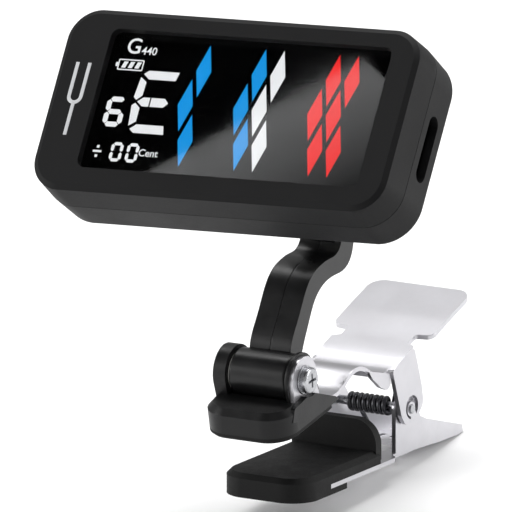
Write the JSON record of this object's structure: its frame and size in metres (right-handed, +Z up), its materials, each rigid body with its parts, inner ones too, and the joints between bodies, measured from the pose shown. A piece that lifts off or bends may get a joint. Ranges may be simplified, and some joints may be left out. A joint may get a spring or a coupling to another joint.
{
  "type": "clip-on instrument tuner",
  "caption": "clip-on instrument tuner with a colour display head on a ball joint, a curved plastic arm and a sprung metal clip with rubber pads",
  "frame": {"origin": "centre of the lower pad's gripping face", "axes": "+Z up with the clip as it is seen standing, 4.4 degrees off the lower pad's normal, +Y towards the thumb tabs, X along the hinge axes with +X on the charging inlet's side"},
  "size_m": [0.0728, 0.0829, 0.0938],
  "materials": {
    "shell_plastic": "satin",
    "arm_plastic": "satin",
    "window_glass": "gloss",
    "display_black": "gloss",
    "diffuser_white": "matt",
    "board_green": "matt",
    "cell_foil": "satin",
    "socket_metal": "satin",
    "sensor_brass": "satin",
    "lever_steel": "satin nickel",
    "screw_steel": "satin",
    "spring_steel": "dark",
    "pad_rubber": "matt",
    "cover_plastic": "matt",
    "liner_plastic": "matt"
  },
  "bodies": {
    "lower_jaw": {"lower_lever": "lever_steel", "lower_pad": "pad_rubber", "pivot_pin": "screw_steel", "torsion_spring": "spring_steel"},
    "upper_jaw": {"upper_lever": "lever_steel", "upper_pad": "pad_rubber", "jaw_cover": "cover_plastic", "hinge_screw": "screw_steel", "hinge_washer": "screw_steel", "hinge_nut": "screw_steel", "friction_washers": "liner_plastic"},
    "arm": {"arm_left_half": "arm_plastic", "arm_right_half": "arm_plastic", "arm_screws": "screw_steel", "hinge_barrel": "arm_plastic", "socket_liners": "liner_plastic"},
    "ball": {"ball_stud": "screw_steel"},
    "head": {"front_cover": "shell_plastic", "rear_cover": "shell_plastic", "display_lens": "window_glass", "display_panel": "display_black", "backlight_panel": "diffuser_white", "circuit_board": "board_green", "battery_cell": "cell_foil", "charging_socket": "socket_metal", "vibration_sensor": "sensor_brass", "housing_screws": "screw_steel", "stud_retainer": "socket_metal"},
    "power_key": {"power_button": "cover_plastic"},
    "mode_key": {"mode_button": "cover_plastic"},
    "pitch_key": {"pitch_button": "cover_plastic"}
  },
  "joints": [
    {"name": "clip_hinge", "type": "hinge", "parent": "lower_jaw", "child": "upper_jaw", "pos_m": [0, 0.0238, 0.00325], "axis": [-1, 0, 0], "range_deg": [0, 22], "stiffness_Nm_per_rad": 0.25, "springref_deg": -60.16, "deforming": ["torsion_spring"]},
    {"name": "arm_tilt", "type": "hinge", "parent": "upper_jaw", "child": "arm", "pos_m": [0, -0.011, 0.01885], "axis": [1, 0, 0], "range_deg": [-10, 30]},
    {"name": "ball_swing", "type": "hinge", "parent": "arm", "child": "ball", "pos_m": [-0.00005, 0.0072, 0.04878], "axis": [1, 0, 0], "range_deg": [-10, 10]},
    {"name": "head_spin", "type": "hinge", "parent": "ball", "child": "head", "pos_m": [-0.00005, 0.0072, 0.04878], "axis": [0, 0.7672, -0.6414], "range_deg": [-45, 45]},
    {"name": "power_press", "type": "slide", "parent": "head", "child": "power_key", "axis": [0.0541, -0.6405, -0.766], "range_m": [0, 0.0004], "stiffness_N_per_m": 400, "springref_m": -0.0008},
    {"name": "mode_press", "type": "slide", "parent": "head", "child": "mode_key", "axis": [0.0541, -0.6405, -0.766], "range_m": [0, 0.0004], "stiffness_N_per_m": 400, "springref_m": -0.0008},
    {"name": "pitch_press", "type": "slide", "parent": "head", "child": "pitch_key", "axis": [0.0541, -0.6405, -0.766], "range_m": [0, 0.0004], "stiffness_N_per_m": 400, "springref_m": -0.0008}
  ]
}
